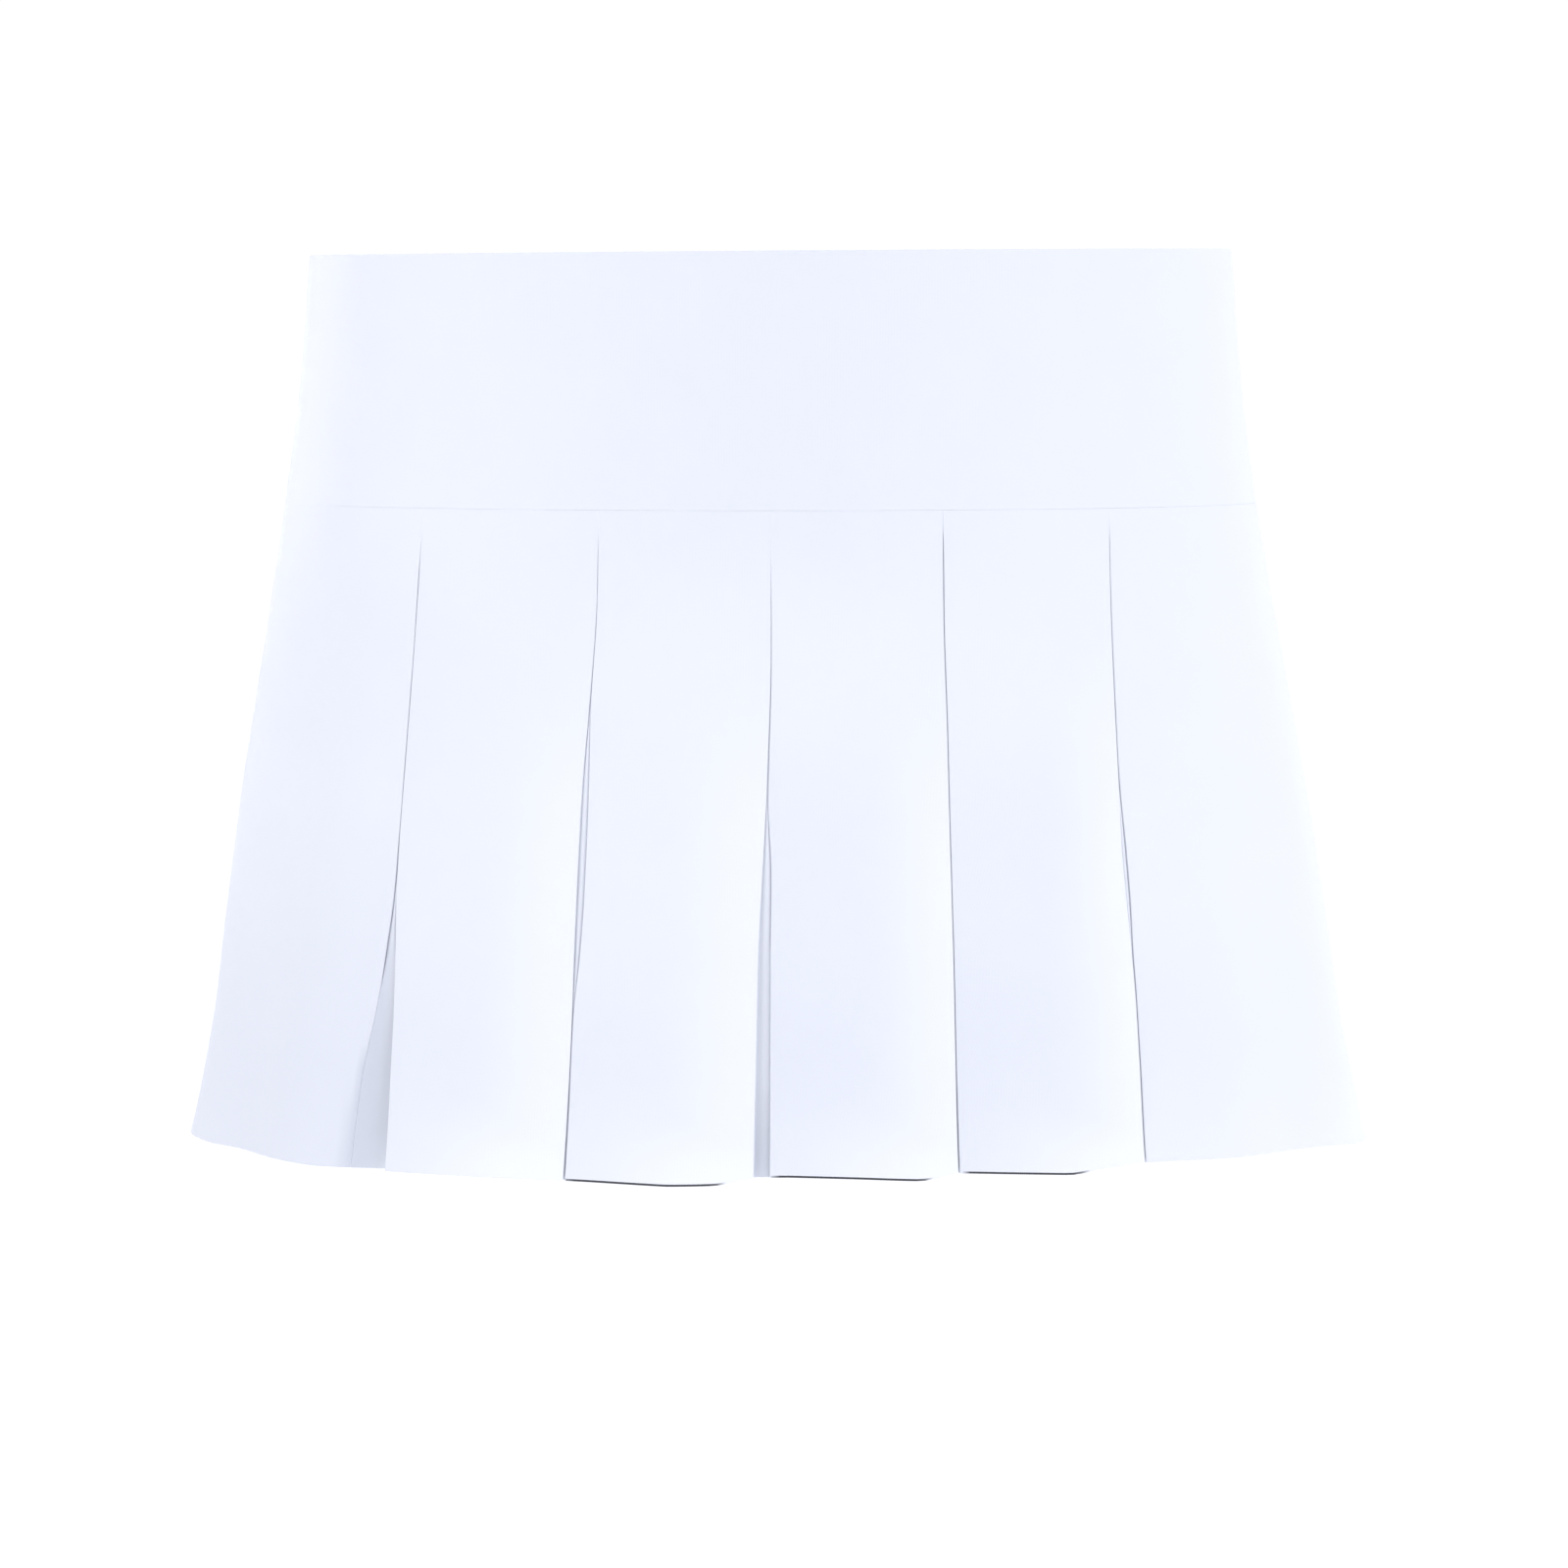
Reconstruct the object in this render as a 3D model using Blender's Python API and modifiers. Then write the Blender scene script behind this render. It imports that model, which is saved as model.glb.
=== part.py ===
"""A pleated tennis skirt, filled out as it is worn and held up at its waist.

Four cut pieces: a plain front yoke and back yoke, and below them a front and a back
with five inverted box pleats each. Metres, +Z up. The origin is the centre of the
waist opening, level with its rim. The front faces -Y, and +X is to the right of
someone who faces the front.
"""

import math
from collections import namedtuple

import bpy
import numpy as np

# ---------------------------------------------------------------- driving sizes
CLOTH = 0.0010  # thickness of the wall
SEAM = 0.0003  # between two pieces that are sewn together
LAYER = 0.0014  # from one layer of a pressed pleat to the next, centre to centre
YOKE_DROP = 0.0890  # from the waist down to the yoke seam
HEM_DROP = 0.3170  # from the waist down to the hem
PLEAT_DEPTH = 0.0250  # from a pleat's line to its inner folds
RECESS = 0.60  # how far an open pleat's underlay falls back, as a share of the most it could
PANEL_CROWN = 0.0022  # how far a panel between two pleats swells out at the hem
SIDE_WAVE = 0.0030  # how far the flared side panels swing in and out at the hem
SIDE_WAVES = 1.5  # waves in each side panel
HEM_SHIFT = 0.0030  # how far the hem hangs to the right of the waist
WAIST_LIFT = 0.0012  # how far the right end of the waist rides above its middle

# The skirt's outline, seen from the front (half width) and from the side (half depth).
Girth = namedtuple("Girth", "drop half_width half_depth")
GIRTHS = (
    Girth(0.000, 0.1640, 0.1080),
    Girth(0.050, 0.1680, 0.1100),
    Girth(0.085, 0.1725, 0.1120),
    Girth(0.120, 0.1780, 0.1145),
    Girth(0.155, 0.1840, 0.1170),
    Girth(0.190, 0.1900, 0.1195),
    Girth(0.225, 0.1950, 0.1220),
    Girth(0.260, 0.2000, 0.1245),
    Girth(0.295, 0.2055, 0.1270),
    Girth(0.320, 0.2095, 0.1292),
)

# Each pleat's line, from the yoke seam to the hem, where its two edges meet, as someone who
# faces that side of the skirt sees it:
#   top, hem     its place across the skirt at the seam and at the hem
#   sway, wave   its bow to one side, and its S-bend
#   opens        the share of the way down where its edges begin to part
#   left, right  how far each edge has moved from the line at the hem
#   roll         radius of the left edge's fold at the hem, where the edge isn't pressed sharp
#   lens         the widest gap of a place where the edges part and meet again
#   lens_from, lens_to   the shares of the way down between which it lies
Pleat = namedtuple("Pleat", "top hem sway wave opens left right roll lens lens_from lens_to")
FRONT_PLEATS = (
    Pleat(-0.1201, -0.1376, 0.0000, 0.0000, 0.57, 0.0067, 0.0045, 0.0055, 0.0, 0.0, 1.0),
    Pleat(-0.0583, -0.0706, -0.0005, 0.0005, 0.95, 0.0003, 0.0003, 0.0, 0.0029, 0.30, 0.78),
    Pleat(0.0003, -0.0015, 0.0000, 0.0000, 0.44, 0.0042, 0.0013, 0.0, 0.0, 0.0, 1.0),
    Pleat(0.0589, 0.0646, 0.0000, 0.0000, 0.95, 0.0002, 0.0002, 0.0, 0.0, 0.0, 1.0),
    Pleat(0.1170, 0.1290, -0.0005, -0.0012, 0.95, 0.0003, 0.0003, 0.0, 0.0018, 0.42, 0.70),
)
BACK_PLEATS = (
    Pleat(-0.1180, -0.1345, 0.0006, 0.0000, 0.55, 0.0030, 0.0026, 0.0, 0.0, 0.0, 1.0),
    Pleat(-0.0590, -0.0672, -0.0005, 0.0000, 0.95, 0.0003, 0.0003, 0.0, 0.0022, 0.35, 0.75),
    Pleat(0.0000, 0.0012, 0.0000, 0.0004, 0.50, 0.0026, 0.0034, 0.0, 0.0, 0.0, 1.0),
    Pleat(0.0590, 0.0664, 0.0004, 0.0000, 0.95, 0.0002, 0.0002, 0.0, 0.0, 0.0, 1.0),
    Pleat(0.1180, 0.1330, 0.0000, -0.0006, 0.60, 0.0034, 0.0040, 0.0, 0.0, 0.0, 1.0),
)

# How far the hem dips below (+) or rides above (-) its level, across the skirt.
Dip = namedtuple("Dip", "place dip")
FRONT_HEM = (
    Dip(-0.206, -0.0010),
    Dip(-0.188, -0.0018),
    Dip(-0.160, 0.0006),
    Dip(-0.100, 0.0010),
    Dip(-0.034, 0.0026),
    Dip(-0.016, 0.0020),
    Dip(-0.004, -0.0006),
    Dip(0.050, 0.0009),
    Dip(0.065, -0.0013),
    Dip(0.106, 0.0001),
    Dip(0.130, -0.0027),
    Dip(0.206, -0.0014),
)
BACK_HEM = (
    Dip(-0.206, -0.0014),
    Dip(-0.080, 0.0006),
    Dip(-0.060, -0.0008),
    Dip(0.000, 0.0010),
    Dip(0.070, -0.0006),
    Dip(0.206, -0.0010),
)

FRONT = 1  # a front piece faces -Y as it is laid out
BACK = -1  # a back piece is turned half round

# ---------------------------------------------------------------- fineness of the mesh
YOKE_ROWS = 6
YOKE_COLUMNS = 32
SKIRT_ROWS = 11
BEND_STEPS = 3  # flat faces round each half turn of a fold
PANEL_STEPS = 6  # across a panel between two pleats
SIDE_STEPS = 9  # across a side panel
LAYER_STEPS = 2  # across a pleat's hidden layers
GIRTH_STEPS = 720  # for measuring along a girth


# ---------------------------------------------------------------- the girth line
def smooth_table(rows, column, at):
    """A column of a table at a drop, read along a smooth curve through its rows."""
    x = [row.drop for row in rows]
    y = [getattr(row, column) for row in rows]
    slopes = np.gradient(y, x)
    i = min(max(int(np.searchsorted(x, at)) - 1, 0), len(x) - 2)
    step = x[i + 1] - x[i]
    t = (at - x[i]) / step
    ease = t * t * (3 - 2 * t)
    start_pull = t * (1 - t) ** 2 * step * slopes[i]
    end_pull = t * t * (1 - t) * step * slopes[i + 1]
    return y[i] + (y[i + 1] - y[i]) * ease + start_pull - end_pull


def below_yoke(drop):
    """The share of the way from the yoke seam to the hem, and 0 above the seam."""
    return max(0.0, (drop - YOKE_DROP) / (HEM_DROP - YOKE_DROP))


class GirthLine:
    """Half of the skirt's outline at one drop, measured along the cloth from its middle."""

    def __init__(self, drop):
        self.half_width = smooth_table(GIRTHS, "half_width", drop)
        self.half_depth = smooth_table(GIRTHS, "half_depth", drop)
        self.angles = np.linspace(math.pi, 0.0, GIRTH_STEPS + 1)
        x = self.half_width * np.cos(self.angles)
        y = -self.half_depth * np.sin(self.angles)
        walked = np.concatenate([[0.0], np.cumsum(np.hypot(np.diff(x), np.diff(y)))])
        self.half = walked[-1] / 2
        self.walked = walked - self.half

    def along(self, place):
        """How far along the cloth a place across the skirt lies."""
        angle = math.acos(place / self.half_width)
        return float(np.interp(-angle, -self.angles, self.walked))

    def point(self, along, out):
        """The point this far along the cloth and this far out from it."""
        angle = float(np.interp(along, self.walked, self.angles))
        normal_x = self.half_depth * math.cos(angle)
        normal_y = -self.half_width * math.sin(angle)
        length = math.hypot(normal_x, normal_y)
        x = self.half_width * math.cos(angle) + out * normal_x / length
        y = -self.half_depth * math.sin(angle) + out * normal_y / length
        return x, y


# ---------------------------------------------------------------- one pleat's section
def pleat_edges(pleat, drop):
    """Where a pleat's left and right edges lie across the skirt, and the left fold's radius."""
    share = below_yoke(drop)
    line = pleat.top + (pleat.hem - pleat.top) * share
    line += pleat.sway * math.sin(math.pi * share) + pleat.wave * math.sin(2 * math.pi * share)
    opened = math.sqrt(max(0.0, share - pleat.opens) / (1 - pleat.opens))
    in_lens = (share - pleat.lens_from) / (pleat.lens_to - pleat.lens_from)
    lens = pleat.lens * math.sin(math.pi * in_lens) ** 2 if 0 < in_lens < 1 else 0.0
    left = line - pleat.left * opened - lens / 2
    right = line + pleat.right * opened + lens / 2
    roll = max(LAYER / 2, pleat.roll * opened**2)
    return left, right, roll


def heading_of(vector):
    return math.atan2(vector[1], vector[0])


def bend(centre, radius, start, end, side):
    """Points round a fold, as the cloth's heading turns from start to end. Side is 1 where
    the cloth turns clockwise round the fold's centre, and -1 where it turns the other way."""
    headings = np.linspace(start, end, BEND_STEPS + 1)
    return [
        (centre[0] - side * radius * math.sin(h), centre[1] + side * radius * math.cos(h))
        for h in headings
    ]


def between(start, end, steps):
    """The points that part a straight run into equal steps, without its two ends."""
    return [
        (start[0] + (end[0] - start[0]) * k / steps, start[1] + (end[1] - start[1]) * k / steps)
        for k in range(1, steps)
    ]


def pleat_section(left, right, roll, middle):
    """An inverted box pleat, as (along, out) points from its left edge to its right edge.
    The cloth folds under at the left edge, runs back to an inner fold, crosses behind
    both edges, and comes back out at the right edge."""
    gap = (right - left) / 2
    fall = RECESS * math.sqrt(2 * PLEAT_DEPTH * gap)
    depth = 2 * LAYER + max(fall, 2 * roll - LAYER)
    small = LAYER / 2
    clear = (SEAM + CLOTH) / 2
    left_edge = (left - clear - roll, -roll)
    left_inner = (middle - PLEAT_DEPTH + small, small - depth)
    right_inner = (middle + PLEAT_DEPTH - small, small - depth)
    right_edge = (right + clear + small, -small)

    way_in = (left_inner[0] - left_edge[0], left_inner[1] - left_edge[1])
    run_in = math.sqrt(math.hypot(*way_in) ** 2 - (roll + small) ** 2)
    heading_in = heading_of(way_in) - math.atan2(roll + small, run_in)
    heading_in -= 2 * math.pi if heading_in > 0 else 0
    way_out = (right_edge[0] - right_inner[0], right_edge[1] - right_inner[1])
    run_out = math.sqrt(math.hypot(*way_out) ** 2 - (2 * small) ** 2)
    heading_out = heading_of(way_out) + math.atan2(2 * small, run_out)

    bends = (
        bend(left_edge, roll, 0.0, heading_in, 1),
        bend(left_inner, small, heading_in, 0.0, -1),
        bend(right_inner, small, 0.0, heading_out, -1),
        bend(right_edge, small, heading_out, 0.0, 1),
    )
    points = list(bends[0])
    for before, after in zip(bends, bends[1:]):
        points += between(before[-1], after[0], LAYER_STEPS)
        points += after
    return points


# ---------------------------------------------------------------- whole sections
def panel_run(start, end, share):
    """The cloth between two pleats, which swells out, as (along, out) points."""
    points = []
    for k in range(1, PANEL_STEPS):
        across = k / PANEL_STEPS
        rise = PANEL_CROWN * share * math.sin(math.pi * across)
        points.append((start + (end - start) * across, rise))
    return points


def side_run(start, end, share):
    """The cloth between a pleat and a side seam, which swings in and out in soft waves."""
    points = []
    for k in range(1, SIDE_STEPS):
        across = k / SIDE_STEPS
        wave = math.sin(2 * math.pi * SIDE_WAVES * across)
        rise = SIDE_WAVE * share * math.sin(math.pi * across) * wave
        points.append((start + (end - start) * across, rise))
    return points


def skirt_section(pleats, drop, lean):
    """A pleated section from side seam to side seam, as (along, out) points. Lean is how far
    its middle hangs to its own right."""
    girth = GirthLine(drop)
    share = below_yoke(drop)
    end = girth.half - SEAM / 2
    points = [(-end, 0.0)]
    for number, pleat in enumerate(pleats):
        left, right, roll = pleat_edges(pleat, drop)
        left, right = girth.along(left - lean), girth.along(right - lean)
        folds = pleat_section(left, right, roll, (left + right) / 2)
        if number == 0:
            points += side_run(points[-1][0], folds[0][0], share)
        else:
            points += panel_run(points[-1][0], folds[0][0], share)
        points += folds
    points += side_run(points[-1][0], end, share)
    points.append((end, 0.0))
    return girth, points


def hem_dip(rows, x):
    return float(np.interp(x, [row.place for row in rows], [row.dip for row in rows]))


def shift(drop):
    """How far a section hangs to the right of the waist."""
    return HEM_SHIFT * below_yoke(drop)


def skirt_rows(pleats, hem, turn):
    """The surface of a pleated piece, as rows of points from the yoke seam to the hem."""
    rows = []
    for drop in np.linspace(YOKE_DROP + SEAM / 2, HEM_DROP, SKIRT_ROWS):
        lean = turn * shift(drop)
        girth, points = skirt_section(pleats, drop, lean)
        row = []
        for along, out in points:
            x, y = girth.point(along, out)
            dip = hem_dip(hem, x + lean) * below_yoke(drop) ** 4
            row.append((x, y, -drop - dip))
        rows.append((shift(drop), row))
    return rows


def yoke_rows(turn):
    """The surface of a yoke, as rows of points from the waist to the yoke seam."""
    rows = []
    for drop in np.linspace(0.0, YOKE_DROP - SEAM / 2, YOKE_ROWS):
        girth = GirthLine(drop)
        end = girth.half - SEAM / 2
        lift = WAIST_LIFT * (1 - drop / YOKE_DROP) ** 2 * turn
        row = []
        for along in np.linspace(-end, end, YOKE_COLUMNS + 1):
            x, y = girth.point(along, 0.0)
            row.append((x, y, lift * x / girth.half_width - drop))
        rows.append((shift(drop), row))
    return rows


# ---------------------------------------------------------------- cloth pieces
def cloth_material(name, colour, roughness):
    material = bpy.data.materials.new(name)
    material.use_nodes = True
    shader = material.node_tree.nodes["Principled BSDF"]
    shader.inputs["Base Color"].default_value = (*colour, 1.0)
    shader.inputs["Roughness"].default_value = roughness
    shader.inputs["Metallic"].default_value = 0.0
    return material


def cloth_piece(name, rows, turn, material, collection):
    """A cut piece: the surface through its rows, given the cloth's thickness. A back piece,
    whose turn is -1, is turned half round, so that its left end is on the right."""
    width = len(rows[0][1])
    points = [(sideways + turn * x, turn * y, z) for sideways, row in rows for x, y, z in row]
    faces = []
    for r in range(len(rows) - 1):
        for c in range(width - 1):
            a = r * width + c
            faces.append((a, a + width, a + width + 1, a + 1))
    mesh = bpy.data.meshes.new(name)
    mesh.from_pydata(points, [], faces)
    mesh.materials.append(material)
    mesh.shade_smooth()
    piece = bpy.data.objects.new(name, mesh)
    collection.objects.link(piece)
    wall = piece.modifiers.new("cloth", "SOLIDIFY")
    wall.thickness = CLOTH
    wall.offset = 0.0
    wall.use_even_offset = True
    return piece


def build():
    for old in list(bpy.data.objects):
        bpy.data.objects.remove(old, do_unlink=True)
    collection = bpy.data.collections.new("tennis_skirt")
    bpy.context.scene.collection.children.link(collection)
    yoke_cloth = cloth_material("white_yoke_cloth", (0.90, 0.92, 0.97), 0.75)
    skirt_cloth = cloth_material("white_pleated_cloth", (0.91, 0.93, 0.97), 0.72)
    cloth_piece("yoke_front", yoke_rows(FRONT), FRONT, yoke_cloth, collection)
    cloth_piece("yoke_back", yoke_rows(BACK), BACK, yoke_cloth, collection)
    front = skirt_rows(FRONT_PLEATS, FRONT_HEM, FRONT)
    cloth_piece("skirt_front", front, FRONT, skirt_cloth, collection)
    back = skirt_rows(BACK_PLEATS, BACK_HEM, BACK)
    cloth_piece("skirt_back", back, BACK, skirt_cloth, collection)


build()
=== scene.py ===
"""A white tennis skirt with inverted box pleats, filled out as it is worn. Metres, +Z up."""

import math
from collections import namedtuple
from functools import lru_cache

import bpy
import numpy as np
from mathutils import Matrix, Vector


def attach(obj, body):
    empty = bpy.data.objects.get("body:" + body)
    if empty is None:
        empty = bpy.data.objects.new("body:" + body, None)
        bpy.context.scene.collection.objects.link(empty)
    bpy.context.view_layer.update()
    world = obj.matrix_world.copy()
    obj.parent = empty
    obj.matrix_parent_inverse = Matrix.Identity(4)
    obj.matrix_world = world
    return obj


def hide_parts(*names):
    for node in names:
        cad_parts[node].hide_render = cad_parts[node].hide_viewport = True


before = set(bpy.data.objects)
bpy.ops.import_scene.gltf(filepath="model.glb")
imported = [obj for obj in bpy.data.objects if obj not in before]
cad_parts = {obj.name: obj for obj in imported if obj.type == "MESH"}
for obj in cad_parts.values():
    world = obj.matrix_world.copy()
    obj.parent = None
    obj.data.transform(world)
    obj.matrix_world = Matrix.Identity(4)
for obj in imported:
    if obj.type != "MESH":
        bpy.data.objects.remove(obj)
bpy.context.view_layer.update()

# ---------------------------------------------------------------- the camera
# A long lens stands 2.7 m in front of the skirt, level with its waist and aimed a little down,
# so the hem bows down across the front and the waist looks almost straight.
CAMERA_PLACE = (0.0047, -2.70, -0.015)
CAMERA_AIM = (0.0047, 0.0, -0.190)
CAMERA_LENS = 173.57  # mm
CAMERA_SENSOR = 36.0  # mm


def aim(thing, target):
    """Turns a camera or a light to look at a target."""
    way = Vector(target) - thing.location
    thing.rotation_euler = way.to_track_quat("-Z", "Y").to_euler()


camera = bpy.data.objects.new("camera", bpy.data.cameras.new("camera"))
camera.data.lens = CAMERA_LENS
camera.data.sensor_width = CAMERA_SENSOR
camera.data.clip_end = 60.0
camera.location = CAMERA_PLACE
aim(camera, CAMERA_AIM)
bpy.context.collection.objects.link(camera)
bpy.context.scene.camera = camera

# ---------------------------------------------------------------- the floor and the light
# A pale studio floor lies where the wearer would stand, under a soft light from overhead. Two
# large lights stand in front. A narrow one behind brightens the yoke's left edge, and two wide
# ones, beside and behind, brighten the skirt's right edge.
FLOOR_DROP = 0.98  # from the waist down to the floor
FLOOR_RADIUS = 40.0
FLOOR_COLOUR = (0.955, 0.955, 0.955)
BACKDROP_COLOUR = (1.06, 1.06, 1.06)  # what the camera sees of the studio
STUDIO_COLOUR = (0.260, 0.263, 0.277)  # what it lights the cloth with
OVERHEAD_GLOW = 0.83
OVERHEAD_SPREAD = 70  # degrees

# Each lamp's glow is how bright it makes a white sheet that faces it at the skirt.
Lamp = namedtuple("Lamp", "name azimuth elevation distance size glow spread aim_drop")
LAMPS = (
    Lamp("key_light", 40, 10, 2.6, 2.00, 0.320, 180, 0.19),
    Lamp("fill_light", -65, 8, 2.6, 2.00, 0.262, 180, 0.19),
    Lamp("left_back_light", -135, 10, 2.6, 0.30, 0.420, 15, 0.00),
    Lamp("right_side_light", 115, 8, 2.6, 1.20, 0.070, 180, 0.19),
    Lamp("right_back_light", 140, 10, 2.6, 1.20, 0.120, 180, 0.19),
)
LAMP_COLOUR = (1.0, 1.005, 1.055)

bpy.context.scene.view_settings.view_transform = "Standard"

floor_mesh = bpy.data.meshes.new("floor")
floor_corners = [(math.cos(a), math.sin(a)) for a in np.linspace(0, 2 * math.pi, 64, endpoint=False)]
floor_mesh.from_pydata(
    [(FLOOR_RADIUS * x, FLOOR_RADIUS * y, -FLOOR_DROP) for x, y in floor_corners],
    [],
    [range(len(floor_corners))],
)
floor_paint = bpy.data.materials.new("floor_paint")
floor_paint.use_nodes = True
floor_shader = floor_paint.node_tree.nodes["Principled BSDF"]
floor_shader.inputs["Base Color"].default_value = (*FLOOR_COLOUR, 1.0)
floor_shader.inputs["Roughness"].default_value = 1.0
floor_shader.inputs["Specular IOR Level"].default_value = 0.0
floor_mesh.materials.append(floor_paint)
floor = bpy.data.objects.new("floor", floor_mesh)
bpy.context.collection.objects.link(floor)

studio = bpy.data.worlds.new("studio")
studio.use_nodes = True
studio_nodes = studio.node_tree.nodes
studio_nodes.clear()
studio_mix = studio_nodes.new("ShaderNodeMixShader")
studio_ray = studio_nodes.new("ShaderNodeLightPath")
studio_output = studio_nodes.new("ShaderNodeOutputWorld")
studio.node_tree.links.new(studio_ray.outputs["Is Camera Ray"], studio_mix.inputs["Fac"])
studio.node_tree.links.new(studio_mix.outputs["Shader"], studio_output.inputs["Surface"])
for slot, colour in ((1, STUDIO_COLOUR), (2, BACKDROP_COLOUR)):
    glow = studio_nodes.new("ShaderNodeBackground")
    glow.inputs["Color"].default_value = (*colour, 1.0)
    studio.node_tree.links.new(glow.outputs["Background"], studio_mix.inputs[slot])
bpy.context.scene.world = studio

overhead = bpy.data.objects.new("overhead_light", bpy.data.lights.new("overhead_light", "SUN"))
overhead.data.energy = OVERHEAD_GLOW * math.pi
overhead.data.angle = math.radians(OVERHEAD_SPREAD)
overhead.data.color = LAMP_COLOUR
bpy.context.collection.objects.link(overhead)

for row in LAMPS:
    light = bpy.data.objects.new(row.name, bpy.data.lights.new(row.name, "AREA"))
    light.data.size = row.size
    half_spread = math.radians(row.spread) / 2
    narrowing = 1 - half_spread / math.tan(half_spread)
    light.data.energy = row.glow * math.pi**2 * row.distance**2 * narrowing
    light.data.spread = math.radians(row.spread)
    light.data.color = LAMP_COLOUR
    around = math.radians(row.azimuth)
    up = math.radians(row.elevation)
    away = Vector((math.sin(around) * math.cos(up), -math.cos(around) * math.cos(up), math.sin(up)))
    target = Vector((0.0, 0.0, -row.aim_drop))
    light.location = target + away * row.distance
    aim(light, target)
    light.visible_camera = False
    bpy.context.collection.objects.link(light)

# ---------------------------------------------------------------- the front and back yoke
# Two plain shaped pieces of smooth white sports cloth go round the hips. The cloth is turned in
# at the waist, and its allowances are pressed open at the side seams and up at the pleats' seam.
YOKE_DROP = 0.0890  # from the waist down to the yoke seam
HEM_DROP = 0.3170  # from the waist down to the hem
HEM_SHIFT = 0.0030  # how far the hem hangs to the right of the waist
WAIST_LIFT = 0.0012  # how far the right end of the waist rides above its middle
CLOTH = 0.00036  # thickness of the cloth
STITCH_GAP = 0.00001  # between two pieces that are sewn together, and the seam's middle
SEAM_EDGE = 0.00002  # how far a cut edge is rounded at a seam
WAIST_TURN = 0.0140  # how far the cloth is turned in at the waist
SIDE_ALLOWANCE = 0.0090  # width of the allowances pressed open at the side seams
SEAM_ALLOWANCE = 0.0080  # height of the yoke seam's allowances, pressed up
ALLOWANCE = 0.00040  # thickness that one turned-in layer adds
SEAM_BULK = 0.00110  # thickness that the yoke seam's allowances add over a pleat
LAYER_EDGE = 0.0008  # over what length the cloth steps up onto a turned-in layer
SEAM_LAYER_EDGE = 0.0012  # the same at the top of the yoke seam's allowances
PLEAT_SPACING = 0.0590  # between two pleats at the yoke seam
CREASE_FADE = 0.030  # height over which the creases fade out at the yoke seam
SEAM_DRAW = 0.00016  # how far the stitches of a side seam draw the cloth in
SEAM_DRAW_WIDTH = 0.0012
PUCKER = 0.00007  # height of the small uneven puckers beside a side seam
PUCKER_WIDTH = 0.0060
PUCKER_LENGTHS = (0.0071, 0.0233)  # two waves down the seam that make them uneven
SHARP_ANGLE = 65  # degrees between two faces from which their edge is shaded as a corner
YOKE_ROWS = 44
YOKE_COLUMNS = 132
GIRTH_STEPS = 1440  # for measuring along a girth
ROUNDING = (20, 45, 70)  # degrees round half of an edge

# The skirt's outline, seen from the front (half width) and from the side (half depth).
Girth = namedtuple("Girth", "drop half_width half_depth")
GIRTHS = (
    Girth(0.000, 0.1640, 0.1080),
    Girth(0.050, 0.1680, 0.1100),
    Girth(0.085, 0.1725, 0.1120),
    Girth(0.120, 0.1780, 0.1145),
    Girth(0.155, 0.1840, 0.1170),
    Girth(0.190, 0.1900, 0.1195),
    Girth(0.225, 0.1950, 0.1220),
    Girth(0.260, 0.2000, 0.1245),
    Girth(0.295, 0.2055, 0.1270),
    Girth(0.320, 0.2095, 0.1292),
)

# Soft troughs (-) and swells (+) that the hips and the hand of the cloth leave in a piece:
# the place across and the drop of its middle, how wide and how long it is, the way it leans
# (sideways for each metre down), and its height.
Crease = namedtuple("Crease", "place drop width length lean height")
YOKE_CREASES = {
    1: (
        Crease(-0.095, 0.062, 0.022, 0.030, 0.9, 0.0009),
        Crease(0.088, 0.060, 0.020, 0.026, -0.8, 0.0008),
        Crease(0.030, 0.022, 0.050, 0.018, 0.0, -0.0007),
        Crease(-0.040, 0.045, 0.016, 0.034, 1.4, -0.0004),
        Crease(0.132, 0.040, 0.010, 0.032, -0.5, -0.0005),
    ),
    -1: (
        Crease(-0.080, 0.058, 0.020, 0.028, 0.7, 0.0008),
        Crease(0.100, 0.064, 0.024, 0.026, -0.9, 0.0009),
        Crease(-0.020, 0.026, 0.045, 0.020, 0.0, -0.0006),
        Crease(0.052, 0.048, 0.014, 0.030, -1.2, -0.0004),
        Crease(-0.135, 0.046, 0.010, 0.030, 0.4, -0.0005),
    ),
}


def eased(share):
    """A share that starts and stops softly, held between 0 and 1."""
    held = np.clip(share, 0.0, 1.0)
    return held * held * (3 - 2 * held)


def smooth_table(rows, column, at, key="drop"):
    """A column of a table, read along a smooth curve through its rows."""
    x = [getattr(row, key) for row in rows]
    y = [getattr(row, column) for row in rows]
    slopes = np.gradient(y, x)
    i = min(max(int(np.searchsorted(x, at)) - 1, 0), len(x) - 2)
    step = x[i + 1] - x[i]
    t = (at - x[i]) / step
    ease = t * t * (3 - 2 * t)
    start_pull = t * (1 - t) ** 2 * step * slopes[i]
    end_pull = t * t * (1 - t) * step * slopes[i + 1]
    return y[i] + (y[i + 1] - y[i]) * ease + start_pull - end_pull


def below_yoke(drop):
    """The share of the way from the yoke seam to the hem, and 0 above the seam."""
    return max(0.0, (drop - YOKE_DROP) / (HEM_DROP - YOKE_DROP))


def hang(drop):
    """How far a section hangs to the right of the waist."""
    return HEM_SHIFT * below_yoke(drop)


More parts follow.
